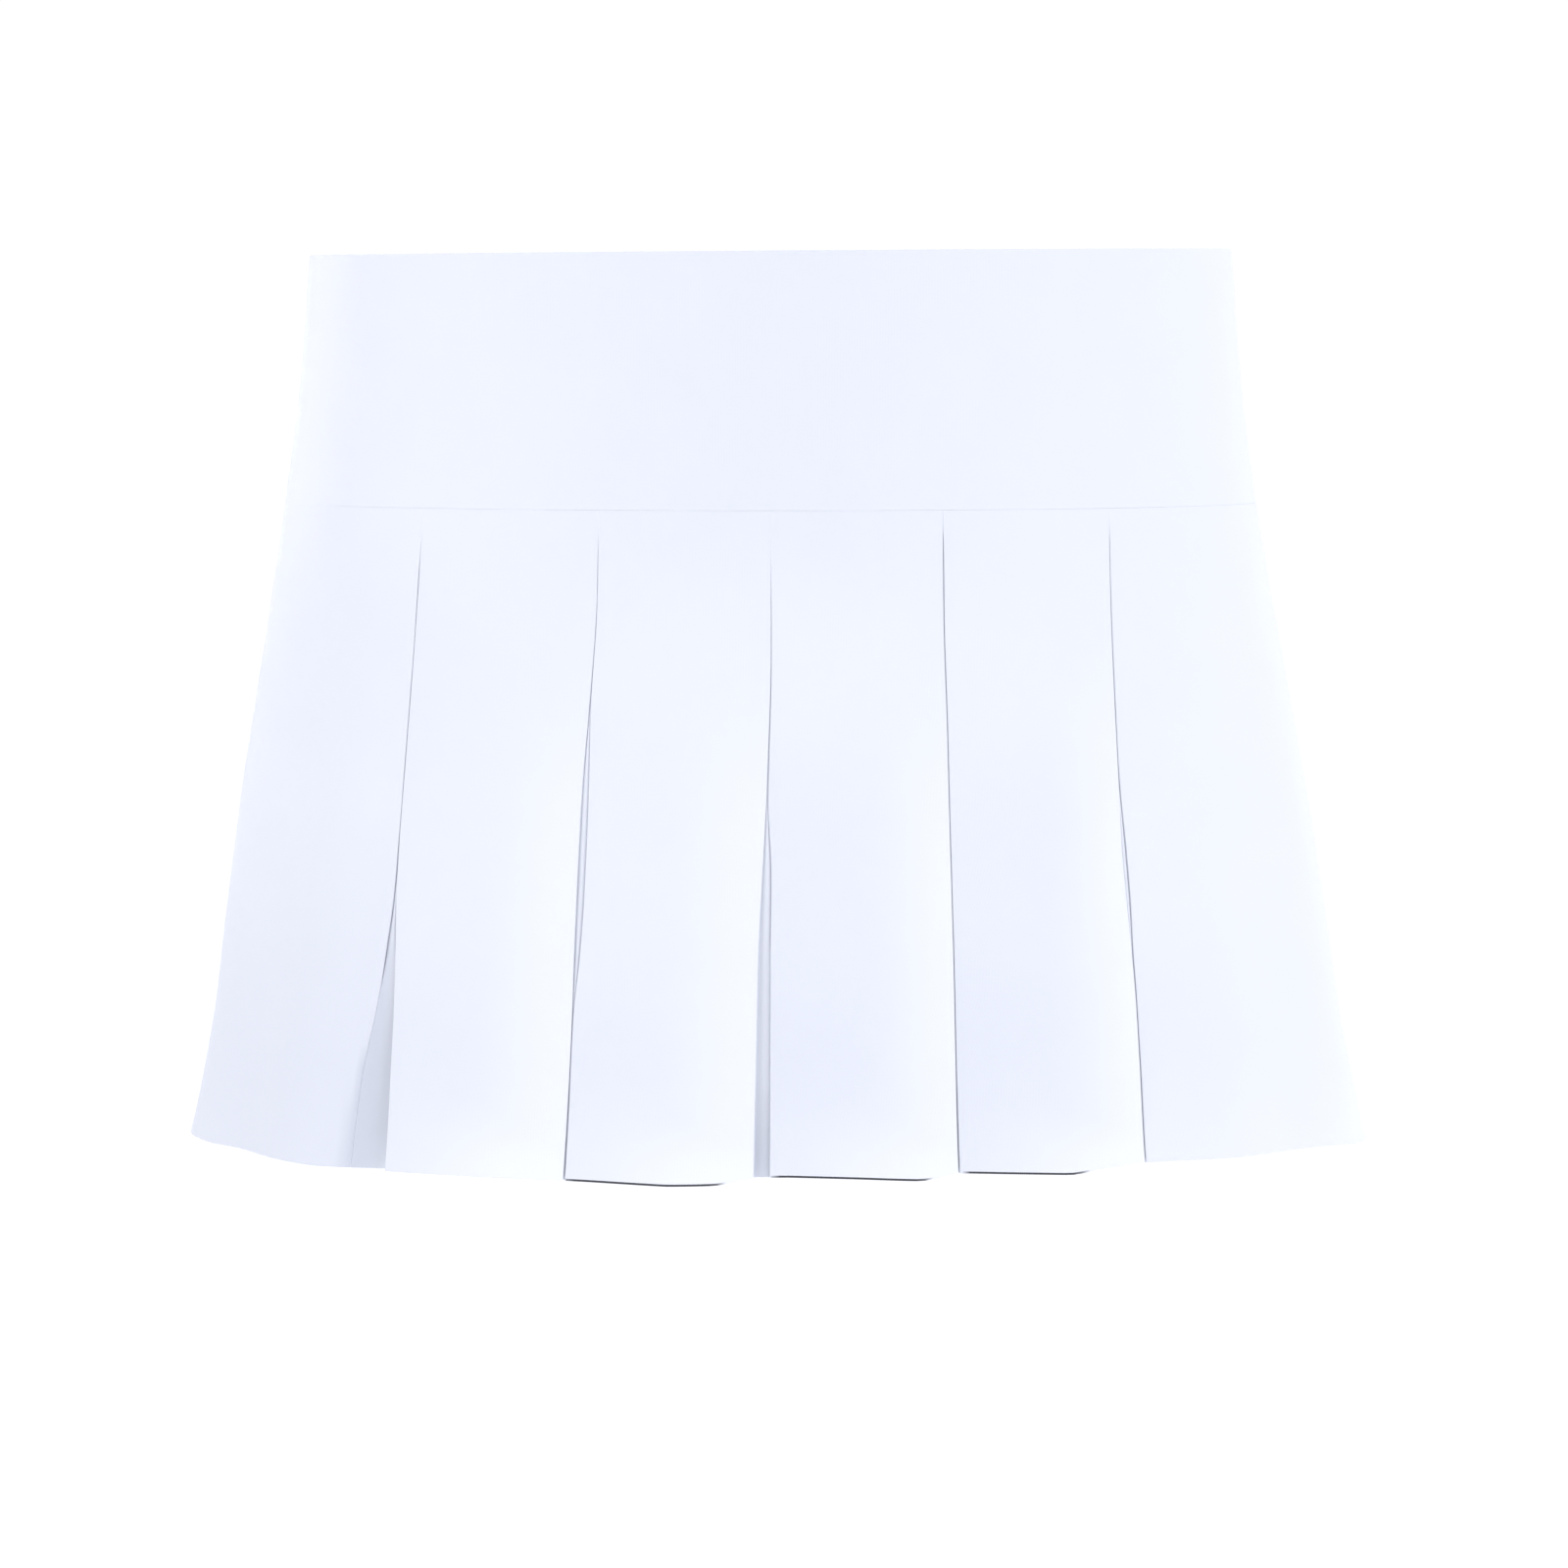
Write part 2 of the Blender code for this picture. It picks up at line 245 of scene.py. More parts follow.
class GirthLine:
    """Half of the skirt's outline at one drop, measured along the cloth from its middle."""

    def __init__(self, drop):
        self.half_width = smooth_table(GIRTHS, "half_width", drop)
        self.half_depth = smooth_table(GIRTHS, "half_depth", drop)
        self.angles = np.linspace(math.pi, 0.0, GIRTH_STEPS + 1)
        x = self.half_width * np.cos(self.angles)
        y = -self.half_depth * np.sin(self.angles)
        walked = np.concatenate([[0.0], np.cumsum(np.hypot(np.diff(x), np.diff(y)))])
        self.half = walked[-1] / 2
        self.walked = walked - self.half

    def along(self, place):
        """How far along the cloth a place across the skirt lies."""
        angle = np.arccos(np.asarray(place) / self.half_width)
        return np.interp(-angle, -self.angles, self.walked)

    def points(self, along, out):
        """The points this far along the cloth and this far out from it."""
        angle = np.interp(along, self.walked, self.angles)
        normal_x = self.half_depth * np.cos(angle)
        normal_y = -self.half_width * np.sin(angle)
        length = np.hypot(normal_x, normal_y)
        x = self.half_width * np.cos(angle) + out * normal_x / length
        y = -self.half_depth * np.sin(angle) + out * normal_y / length
        return x, y


def crease_height(creases, place, drop):
    """How far the creases move the cloth out, at places across the skirt."""
    height = np.zeros_like(place)
    for crease in creases:
        middle = crease.place + crease.lean * (drop - crease.drop)
        across = (place - middle) / crease.width
        down = (drop - crease.drop) / crease.length
        height += crease.height * np.exp(-(across**2) - down**2)
    return height


# The cloth's middle surface at one drop, column by column: where it is along and out from the
# girth line, which way it heads there, how thick its wrong side is turned in, how much of the
# full thickness it has, how near it is to a pressed fold, how white it is painted for the layers
# behind it and for painted shade and light, and how far along the cut cloth it is.
Section = namedtuple("Section", "girth along out heading turned pinch press backing cut")

PLAIN_BACKING = 0.45  # how white the cloth looks where nothing lies close behind it
PINCH_COLUMNS = ((0.0, 0.35), (0.00003, 0.75), (0.00010, 1.0))  # from a side edge: place, share

# Painted shade (+) and painted light (-) on the yoke: the middle of the patch, its width,
# and by how much.
Patch = namedtuple("Patch", "place width shade")
YOKE_PATCHES = (Patch(0.0, 0.080, 0.22), Patch(-0.125, 0.042, -0.18))


def yoke_shade(place):
    """How much painted shade (+) or painted light (-) moves the yoke from PLAIN_BACKING, at places
    across it.
    """
    return sum(row.shade * np.exp(-(((place - row.place) / row.width) ** 2)) for row in YOKE_PATCHES)


def side_allowance(girth, along):
    """The thickness that the side seams' pressed allowances add."""
    inside = girth.half - np.abs(along)
    return ALLOWANCE * eased((SIDE_ALLOWANCE - inside) / LAYER_EDGE + 0.5)


def seam_pull(girth, along, drop):
    """How far the stitches of the side seams draw the cloth in, with small uneven puckers."""
    inside = girth.half - np.abs(along)
    pucker = PUCKER * math.prod(math.sin(drop / length * 2 * math.pi) for length in PUCKER_LENGTHS)
    return pucker * np.exp(-inside / PUCKER_WIDTH) - SEAM_DRAW * np.exp(-inside / SEAM_DRAW_WIDTH)


@lru_cache(maxsize=None)
def yoke_section(turn, drop):
    """The yoke's cloth at one drop. Turn is 1 for the front piece and -1 for the back one."""
    girth = GirthLine(drop)
    end = girth.half - STITCH_GAP
    edge = [end - place for place, _ in PINCH_COLUMNS]
    inner = np.linspace(-edge[-1], edge[-1], YOKE_COLUMNS + 1)[1:-1]
    along = np.concatenate([[-e for e in edge], inner, edge[::-1]])
    shares = [share for _, share in PINCH_COLUMNS]
    pinch = np.concatenate([shares, np.ones(len(inner)), shares[::-1]])
    place, _ = girth.points(along, 0.0)
    faded = eased((YOKE_DROP - drop) / CREASE_FADE)
    out = crease_height(YOKE_CREASES[turn], place, drop) * faded + seam_pull(girth, along, drop)
    heading = np.arctan(np.gradient(out, along))
    over_pleat = 0.5 + 0.5 * np.cos(place / PLEAT_SPACING * 2 * math.pi)
    bulk = ALLOWANCE + (SEAM_BULK - ALLOWANCE) * over_pleat
    at_seam = bulk * eased((drop - YOKE_DROP + SEAM_ALLOWANCE) / SEAM_LAYER_EDGE + 0.5)
    at_waist = ALLOWANCE * eased((WAIST_TURN - drop) / LAYER_EDGE + 0.5)
    turned = np.maximum(side_allowance(girth, along), np.maximum(at_waist, at_seam))
    # The yoke's tone: PLAIN_BACKING with painted shade and light on it.
    backing = PLAIN_BACKING - yoke_shade(place)
    return Section(girth, along, out, heading, turned, pinch, np.zeros_like(along), backing, along)


# One row of a piece's wall, as it is followed round the edge of the cloth: its drop, how far it
# has turned from the right side (0) to the wrong side (180 degrees), and which way and how far
# it bulges.
Station = namedtuple("Station", "drop turned bulge reach")


def wall_stations(drops, top_reach, bottom_reach):
    """The rows of a closed wall: down its right side, round its lower edge, up its wrong side,
    and round its upper edge. A reach is how far an edge bulges past its last row, and None for
    a folded edge, which is as round as the cloth is thick."""
    top, bottom = drops[0], drops[-1]
    stations = [Station(top, angle, 1, top_reach) for angle in reversed(ROUNDING)]
    stations += [Station(drop, 0, 0, 0.0) for drop in drops]
    stations += [Station(bottom, angle, -1, bottom_reach) for angle in ROUNDING]
    stations += [Station(bottom, 180 - angle, -1, bottom_reach) for angle in reversed(ROUNDING)]
    stations += [Station(drop, 180, 0, 0.0) for drop in reversed(drops)]
    stations += [Station(top, 180 - angle, 1, top_reach) for angle in ROUNDING]
    return stations


# Painted shadow: the stretches of the front hem whose lower edge is painted with a thin dark line
# that stands in for the shade under its fold: where each starts and ends across the skirt.
RIM = 0.00075  # height of the line
RIM_EDGE = 0.00004  # over what height it begins
RIM_FADES = (0.001, 0.004)  # over what length it fades at its left and right ends
Stretch = namedtuple("Stretch", "start end")
SHADED_HEM = (
    Stretch(-0.0706, -0.0150),
    Stretch(0.0000, 0.0560),
    Stretch(0.0655, 0.1100),
)


def hem_shade(turn, station, place):
    """How much painted shadow darkens the lower edge of the hem, at places across the skirt."""
    shade = np.zeros_like(place)
    if turn == 1 and station.drop > HEM_DROP - RIM and station.turned <= 90:
        for stretch in SHADED_HEM:
            from_left = eased((place - stretch.start) / RIM_FADES[0])
            from_right = eased((stretch.end - place) / RIM_FADES[1])
            shade = np.maximum(shade, from_left * from_right)
    return shade


def cloth_piece(name, turn, stations, section_at, level_at, material, node):
    """A cut piece as a closed wall. A back piece, whose turn is -1, is turned half round."""
    places, cuts, presses, layers_and_painted_shadings, hem_shadows = [], [], [], [], []
    for station in stations:
        section = section_at(turn, station.drop)
        angle = math.radians(station.turned)
        right_side = CLOTH / 2 * section.pinch
        wrong_side = right_side + section.turned * section.pinch
        middle = (right_side - wrong_side) / 2
        half = (right_side + wrong_side) / 2
        offset = middle + half * math.cos(angle)
        along = section.along - offset * np.sin(section.heading)
        out = section.out + offset * np.cos(section.heading)
        x, y = section.girth.points(along, out)
        reach = half if station.reach is None else station.reach
        z = level_at(turn, station.drop, x) + station.bulge * reach * math.sin(angle)
        places.append(np.stack([hang(station.drop) + turn * x, turn * y, z], axis=1))
        cuts.append(np.stack([section.cut, np.full_like(x, station.drop), np.zeros_like(x)], axis=1))
        presses.append(section.press)
        layers_and_painted_shadings.append(section.backing)
        hem_shadows.append(hem_shade(turn, station, turn * x + hang(station.drop)))
    rows, columns = len(stations), len(places[0])
    faces = []
    for r in range(rows):
        here, below = r * columns, (r + 1) % rows * columns
        for c in range(columns - 1):
            faces.append((here + c, below + c, below + c + 1, here + c + 1))
    for r in range(rows // 2 - 1):
        a, b = r * columns, (r + 1) * columns
        c, d = (rows - 2 - r) * columns, (rows - 1 - r) * columns
        faces.append((a, d, c, b))
        last = columns - 1
        faces.append((b + last, c + last, d + last, a + last))
    mesh = bpy.data.meshes.new(name)
    mesh.from_pydata(np.concatenate(places), [], faces)
    cut = mesh.attributes.new("cut", "FLOAT_VECTOR", "POINT")
    cut.data.foreach_set("vector", np.concatenate(cuts).ravel())
    for attribute, values in (("press", presses), ("backing", layers_and_painted_shadings), ("hem_shadow", hem_shadows)):
        made = mesh.attributes.new(attribute, "FLOAT", "POINT")
        made.data.foreach_set("value", np.concatenate(values))
    mesh.materials.append(material)
    mesh.shade_smooth()
    mesh.set_sharp_from_angle(angle=math.radians(SHARP_ANGLE))
    piece = bpy.data.objects.new(name, mesh)
    bpy.context.collection.objects.link(piece)
    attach(piece, "root")
    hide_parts(node)
    return piece


class Value:
    """One output of a shader node. Arithmetic on it adds Math nodes."""

    def __init__(self, tree, socket=None):
        self.tree = tree
        self.socket = socket

    def node(self, kind, settings, inputs, output=0):
        """Any node: its type, its settings, and the values or links of its sockets."""
        made = self.tree.nodes.new(kind)
        for setting, value in settings.items():
            setattr(made, setting, value)
        for name, value in inputs.items():
            if isinstance(value, Value):
                self.tree.links.new(value.socket, made.inputs[name])
            else:
                made.inputs[name].default_value = value
        return Value(self.tree, made.outputs[output])

    def maths(self, operation, *values):
        return self.node("ShaderNodeMath", {"operation": operation}, dict(enumerate(values)))

    def sine(self):
        return self.maths("SINE", self)

    def mixed(self, share, first, second):
        """A mix of two colours."""
        sockets = {"Factor": share, 6: first, 7: second}
        return self.node("ShaderNodeMix", {"data_type": "RGBA", "clamp_factor": False}, sockets, 2)

    def __add__(self, other):
        return self.maths("ADD", self, other)

    def __sub__(self, other):
        return self.maths("SUBTRACT", self, other)

    def __rsub__(self, other):
        return self.maths("SUBTRACT", other, self)

    def __mul__(self, other):
        return self.maths("MULTIPLY", self, other)

    __radd__ = __add__
    __rmul__ = __mul__


WHITE = (0.720, 0.747, 0.812)  # the cloth by itself; a share below 0 paints shade darker than this
WHITE_BACKED_OR_LIT = (0.845, 0.867, 0.915)  # where more cloth lies behind, and where light is painted on
# The colour of the painted shadow along the lower edge of the hem.
RIM_SHADE = (0.060, 0.062, 0.070)
WALE = 0.00052  # width of one column of knit loops
COURSE = 0.00044  # height of one row of knit loops
LOOP_SAG = 2.2  # how far the middle of each loop is drawn down its column, in radians of a row
FIBRE_SCALE = 1900.0  # of the noise that gives single fibres
BLOOM_SCALE = 34.0  # of the noise that gives the uneven fibre bloom
KNIT_HEIGHT = 0.00005
BLOOM_TINT = 0.16  # how far the bloom moves the cloth between its two whites
KNIT_TINT = 0.06  # the same for the columns of loops and for single fibres
FIBRE_ROUGHNESS = 0.12
PRESSED_SHEEN = 0.14  # how much less rough a pressed fold is


def cloth_finish(name, roughness):
    """Fine white jersey: rows of tiny loops, an uneven fibre bloom and smoother pressed folds. Its
    colour also carries painted shade and light, and a painted shadow along the hem.
    """
    material = bpy.data.materials.new(name)
    material.use_nodes = True
    tree = material.node_tree
    shader = tree.nodes["Principled BSDF"]
    make = Value(tree).node
    cut = make("ShaderNodeAttribute", {"attribute_name": "cut"}, {}, "Vector")
    press = make("ShaderNodeAttribute", {"attribute_name": "press"}, {}, "Fac")
    backing = make("ShaderNodeAttribute", {"attribute_name": "backing"}, {}, "Fac")
    hem_shadow = make("ShaderNodeAttribute", {"attribute_name": "hem_shadow"}, {}, "Fac")
    across = make("ShaderNodeSeparateXYZ", {}, {"Vector": cut}, "X")
    down = make("ShaderNodeSeparateXYZ", {}, {"Vector": cut}, "Y")
    wave = (across * (math.pi / WALE)).sine()
    wale = wave * wave
    loop = (down * (2 * math.pi / COURSE) + wale * LOOP_SAG).sine() * wale
    noise = {"Vector": cut, "Scale": FIBRE_SCALE, "Detail": 3.0}
    fibre = make("ShaderNodeTexNoise", {}, noise, "Fac")
    noise = {"Vector": cut, "Scale": BLOOM_SCALE, "Detail": 4.0}
    bloom = make("ShaderNodeTexNoise", {}, noise, "Fac")
    height = wale * 0.5 + loop * 0.3 + fibre * 0.5
    relief = {"Height": height, "Strength": 0.35, "Distance": KNIT_HEIGHT}
    bump = make("ShaderNodeBump", {}, relief, "Normal")
    worn = (bloom - 0.5) * BLOOM_TINT + (wale - 0.5) * KNIT_TINT + (fibre - 0.5) * KNIT_TINT
    # Between the two whites: the layers behind, painted shade and painted light, and the uneven bloom
    # and knit.
    tint = backing.mixed(backing + worn, (*WHITE, 1.0), (*WHITE_BACKED_OR_LIT, 1.0))
    # Painted shadow along the hem's lower edge.
    tint = tint.mixed(hem_shadow, tint, (*RIM_SHADE, 1.0))
    tree.links.new(tint.socket, shader.inputs["Base Color"])
    tree.links.new(bump.socket, shader.inputs["Normal"])
    rough = roughness + (fibre - 0.5) * FIBRE_ROUGHNESS - press * PRESSED_SHEEN
    tree.links.new(rough.socket, shader.inputs["Roughness"])
    shader.inputs["Specular IOR Level"].default_value = 0.25
    shader.inputs["Sheen Weight"].default_value = 0.22
    shader.inputs["Sheen Roughness"].default_value = 0.45
    shader.inputs["Sheen Tint"].default_value = (0.95, 0.97, 1.0, 1.0)
    return material


def rows_between(top, bottom, count, extras):
    """Even rows from top to bottom, with closer ones where the wall changes."""
    return sorted([*np.linspace(top, bottom, count), *extras])


def rows_round(middle, length, shares):
    """Rows close together round a place where the wall changes, at shares of a length."""
    return [middle + share * length for share in shares]


def yoke_level(turn, drop, x):
    """How high the yoke's cloth lies at one drop. The waist rides up a little on the right."""
    lift = WAIST_LIFT * (1 - drop / YOKE_DROP) ** 2 * turn
    return lift * x / smooth_table(GIRTHS, "half_width", drop) - drop


yoke_cloth = cloth_finish("white_yoke_jersey", 0.76)
yoke_top = (CLOTH + ALLOWANCE) / 2
yoke_bottom = YOKE_DROP - STITCH_GAP - SEAM_EDGE
yoke_extras = rows_round(WAIST_TURN, LAYER_EDGE, (-1 / 2, 0, 1 / 2))
yoke_extras += rows_round(YOKE_DROP - SEAM_ALLOWANCE, SEAM_LAYER_EDGE, (-1 / 2, -1 / 6, 1 / 6, 1 / 2))
yoke_extras += [yoke_bottom - SEAM_EDGE]
yoke_stations = wall_stations(
    rows_between(yoke_top, yoke_bottom, YOKE_ROWS, yoke_extras), None, SEAM_EDGE
)
for turn, piece_name, node in ((1, "front_yoke", "yoke_front"), (-1, "back_yoke", "yoke_back")):
    yoke = cloth_piece(
        piece_name, turn, yoke_stations, yoke_section, yoke_level, yoke_cloth, node
    )

# ---------------------------------------------------------------- the pleated front and back
# Each is one wide piece of the same cloth, laid in five inverted box pleats, pressed sharp and
# sewn to its yoke. Its hem is turned up once and caught with blind stitches.
PLEAT_DEPTH = 0.0250  # from a pleat's line to its inner folds
FOLD = 0.00020  # radius of a sharp fold, to the middle of the cloth
HEM_FOLD = 0.00042  # the same at the hem, where the cloth is double
SOFT_FOLD = 0.00031  # the same at the end of a soft edge
INNER_FOLD = 0.00024  # radius of the two folds behind
RECESS = 0.11  # how far an open underlay falls back at the hem, as a share of the most it could
ROLL_CURVE = 10.0  # how fast a soft edge rolls in: metres in for each square metre along
UNDERLAY_SAG = 0.00060  # how much deeper it hangs behind the left edge of a wide pleat
UNDERLAY_LIFT = 0.25  # how near it comes to a wide pleat's right edge, where 1 touches it
UNDERLAY_TUCK = 0.00024  # how far it lies below a soft edge, right beside it
UNDERLAY_TILT = 0.30  # how deep it falls behind a soft edge, as a share of that edge's roll
UNDERLAY_STAND = 0.9  # heading of the cloth where it comes up beside a soft edge
UNDERLAY_RISE = 0.00060  # how far the underlay bows out where a pleat gapes a little
UNDERLAY_SHARES = (-0.99, -0.8, -0.5, -0.2, 0.2, 0.5, 0.8, 0.99)  # across it, from its middle
UNDERLAY_REACH = 1.02  # how far it goes level behind each edge, as a share of its half width
UNDERLAY_TOP = 0.55  # how far it stands off a soft edge beside it, as a share of the cloth
UNDERLAY_FOOT = 0.30  # the same where it starts to come up
LEAST_GAP = 0.0004  # the least half gap that these shares are laid out over
BOW_GAP = 0.0006  # the half gap at which the underlay bows out in full
SOFT_ROLL = 0.0060  # the roll at which an edge is soft in full
HEM_TURN = 0.0220  # how far the hem is turned up
HEM_LAYER = 0.00022  # thickness that the turned-up hem adds
HEM_FOLD_TOP = 1.6  # height above the hem's edge where folds begin to grow full, in hem turns
HEM_FOLD_GROWTH = 0.6  # and over what height they do, in hem turns
SIDE_WAVE = 0.0030  # how far the flared side panels swing in and out at the hem
SIDE_WAVES = 1.5  # waves in each side panel
HEM_TUCK = 0.0006  # how far the cloth turns in above its stiff hem
HEM_KICK = 0.0012  # how far the hem's edge stands out
PRESS_WIDTH = 0.0012  # how far a pressed fold's smoothness reaches
STEEPEST_SWELL = 0.3  # the most that a swell or a crease turns the cloth, in radians
SKIRT_ROWS = 66
BEND_STEPS = 8  # round each half turn of a fold
LEG_STEPS = 5  # across a pleat's two inner layers
UNDERLAY_STEPS = 4  # across each hidden part of its underlay
PANEL_STEPS = 22  # across a panel between two pleats
SIDE_STEPS = 40  # across a side panel

# A stretch over which something changes softly: of drop, of a gap, of a roll or of a share.
Band = namedtuple("Band", "start length")
TUCK_BAND = Band(0.235, 0.070)  # where the cloth turns in above the hem
KICK_BAND = Band(0.290, 0.027)  # where it turns out again
WIDE_BAND = Band(0.0013, 0.0012)  # the half gaps at which a pleat comes to stand wide open

# Where the two edges of a pleat lie across the skirt, and over what length the left one rolls
# in where it isn't pressed sharp. Where left is past right, the edges are sewn into each other.
Edge = namedtuple("Edge", "drop left right roll")
FRONT_PLEATS = (
    (
        Edge(0.089, -0.11965, -0.12035, 0.0),
        Edge(0.100, -0.12085, -0.12095, 0.0),
        Edge(0.139, -0.12365, -0.12350, 0.0),
        Edge(0.174, -0.12640, -0.12620, 0.0),
        Edge(0.205, -0.12885, -0.12860, 0.0),
        Edge(0.222, -0.13035, -0.12955, 0.0006),
        Edge(0.239, -0.13280, -0.12980, 0.0022),
        Edge(0.261, -0.13680, -0.13070, 0.0060),
        Edge(0.282, -0.14200, -0.13170, 0.0115),
        Edge(0.300, -0.14500, -0.13240, 0.0150),
        Edge(0.318, -0.14700, -0.13300, 0.0170),
    ),
    (
        Edge(0.089, -0.05795, -0.05865, 0.0),
        Edge(0.100, -0.05895, -0.05900, 0.0),
        Edge(0.122, -0.05955, -0.05945, 0.0),
        Edge(0.158, -0.06225, -0.06170, 0.0),
        Edge(0.180, -0.06425, -0.06215, 0.0),
        Edge(0.208, -0.06590, -0.06320, 0.0),
        Edge(0.240, -0.06735, -0.06525, 0.0),
        Edge(0.260, -0.06810, -0.06755, 0.0),
        Edge(0.290, -0.06950, -0.06905, 0.0),
        Edge(0.318, -0.07095, -0.07030, 0.0),
    ),
    (
        Edge(0.089, 0.00060, 0.00000, 0.0),
        Edge(0.106, 0.00030, 0.00020, 0.0),
        Edge(0.149, 0.00010, 0.00030, 0.0),
        Edge(0.174, -0.00080, -0.00040, 0.0),
        Edge(0.191, -0.00145, -0.00070, 0.0),
        Edge(0.207, -0.00235, 0.00020, 0.0),
        Edge(0.238, -0.00400, 0.00010, 0.0),
        Edge(0.271, -0.00475, -0.00005, 0.0),
        Edge(0.318, -0.00570, -0.00020, 0.0),
    ),
    (
        Edge(0.089, 0.05930, 0.05900, 0.0),
        Edge(0.098, 0.05925, 0.05935, 0.0),
        Edge(0.130, 0.05955, 0.05980, 0.0),
        Edge(0.163, 0.06065, 0.06090, 0.0),
        Edge(0.191, 0.06135, 0.06160, 0.0),
        Edge(0.226, 0.06235, 0.06260, 0.0),
        Edge(0.261, 0.06330, 0.06360, 0.0),
        Edge(0.290, 0.06385, 0.06420, 0.0),
        Edge(0.318, 0.06435, 0.06475, 0.0),
    ),
    (
        Edge(0.089, 0.11740, 0.11690, 0.0),
        Edge(0.098, 0.11730, 0.11735, 0.0),
        Edge(0.113, 0.11750, 0.11765, 0.0),
        Edge(0.155, 0.11900, 0.11925, 0.0),
        Edge(0.184, 0.12045, 0.12080, 0.0),
        Edge(0.209, 0.12165, 0.12330, 0.0),
        Edge(0.226, 0.12325, 0.12465, 0.0),
        Edge(0.242, 0.12490, 0.12545, 0.0),
        Edge(0.258, 0.12650, 0.12685, 0.0),
        Edge(0.282, 0.12790, 0.12825, 0.0),
        Edge(0.318, 0.12900, 0.12935, 0.0),
    ),
)
BACK_PLEATS = (
    (
        Edge(0.089, -0.11760, -0.11830, 0.0),
        Edge(0.102, -0.11870, -0.11880, 0.0),
        Edge(0.146, -0.12180, -0.12160, 0.0),
        Edge(0.203, -0.12580, -0.12550, 0.0),
        Edge(0.215, -0.12690, -0.12640, 0.0),
        Edge(0.249, -0.13080, -0.12760, 0.0004),
        Edge(0.283, -0.13420, -0.12960, 0.0010),
        Edge(0.318, -0.13750, -0.13190, 0.0016),
    ),
    (
        Edge(0.089, -0.05870, -0.05930, 0.0),
        Edge(0.100, -0.05945, -0.05950, 0.0),
        Edge(0.146, -0.06160, -0.06130, 0.0),
        Edge(0.180, -0.06420, -0.06260, 0.0),
        Edge(0.215, -0.06560, -0.06350, 0.0),
        Edge(0.249, -0.06580, -0.06520, 0.0),
        Edge(0.290, -0.06665, -0.06625, 0.0),
        Edge(0.318, -0.06745, -0.06690, 0.0),
    ),
    (
        Edge(0.089, 0.00030, -0.00030, 0.0),
        Edge(0.108, 0.00035, 0.00030, 0.0),
        Edge(0.146, 0.00060, 0.00080, 0.0),
        Edge(0.203, 0.00050, 0.00090, 0.0),
        Edge(0.226, -0.00080, 0.00180, 0.0),
        Edge(0.260, -0.00140, 0.00310, 0.0),
        Edge(0.318, -0.00140, 0.00460, 0.0),
    ),
    (
        Edge(0.089, 0.05925, 0.05880, 0.0),
        Edge(0.099, 0.05935, 0.05940, 0.0),
        Edge(0.146, 0.06100, 0.06125, 0.0),
        Edge(0.203, 0.06295, 0.06325, 0.0),
        Edge(0.260, 0.06475, 0.06510, 0.0),
        Edge(0.318, 0.06620, 0.06660, 0.0),
    ),
    (
        Edge(0.089, 0.11830, 0.11770, 0.0),
        Edge(0.101, 0.11845, 0.11855, 0.0),
        Edge(0.146, 0.12105, 0.12130, 0.0),
        Edge(0.203, 0.12530, 0.12565, 0.0),
        Edge(0.226, 0.12700, 0.12750, 0.0),
        Edge(0.249, 0.12720, 0.13090, 0.0),
        Edge(0.283, 0.12850, 0.13440, 0.0),
        Edge(0.318, 0.12960, 0.13700, 0.0),
    ),
)

# How far a panel between two pleats swells out: below the yoke, halfway down, above the hem
# and at the hem. It swells most at a share of its width from its left edge, and its left part
# gets painted shade.
Panel = namedtuple("Panel", "top middle low hem peak thin")
FRONT_PANELS = (
    Panel(0.0002, 0.0022, 0.0030, 0.0028, 0.72, 0.00),
    Panel(0.0004, 0.0026, 0.0032, 0.0026, 0.68, 0.04),
    Panel(0.0016, 0.0020, 0.0026, 0.0028, 0.76, 0.22),
    Panel(0.0018, 0.0024, 0.0026, 0.0026, 0.74, 0.22),
)
BACK_PANELS = (
    Panel(0.0012, 0.0022, 0.0026, 0.0028, 0.66, 0.06),
    Panel(0.0005, 0.0020, 0.0029, 0.0028, 0.70, 0.16),
    Panel(0.0008, 0.0024, 0.0028, 0.0026, 0.36, 0.20),
    Panel(0.0014, 0.0020, 0.0027, 0.0028, 0.30, 0.04),
)
PANEL_DROPS = (0.110, 0.190, 0.270, 0.317)

SKIRT_CREASES = {
    1: (
        Crease(-0.158, 0.170, 0.012, 0.070, -0.10, -0.0008),
        Crease(-0.170, 0.285, 0.014, 0.040, -0.15, 0.0007),
        Crease(-0.095, 0.210, 0.016, 0.060, -0.05, -0.0006),
        Crease(-0.030, 0.250, 0.018, 0.050, 0.10, 0.0007),
        Crease(0.030, 0.215, 0.014, 0.080, 0.00, -0.0006),
        Crease(0.086, 0.240, 0.013, 0.070, 0.05, -0.0006),
        Crease(0.145, 0.285, 0.010, 0.060, 0.10, -0.0008),
        Crease(0.165, 0.200, 0.014, 0.060, 0.16, 0.0006),
    ),
    -1: (
        Crease(-0.160, 0.190, 0.013, 0.060, -0.12, -0.0007),
        Crease(-0.100, 0.235, 0.015, 0.060, -0.06, -0.0006),
        Crease(-0.033, 0.205, 0.014, 0.070, 0.00, -0.0006),
        Crease(0.028, 0.260, 0.017, 0.050, -0.08, 0.0007),
        Crease(0.092, 0.220, 0.014, 0.070, 0.06, -0.0006),
        Crease(0.150, 0.275, 0.011, 0.060, 0.12, -0.0007),
    ),
}

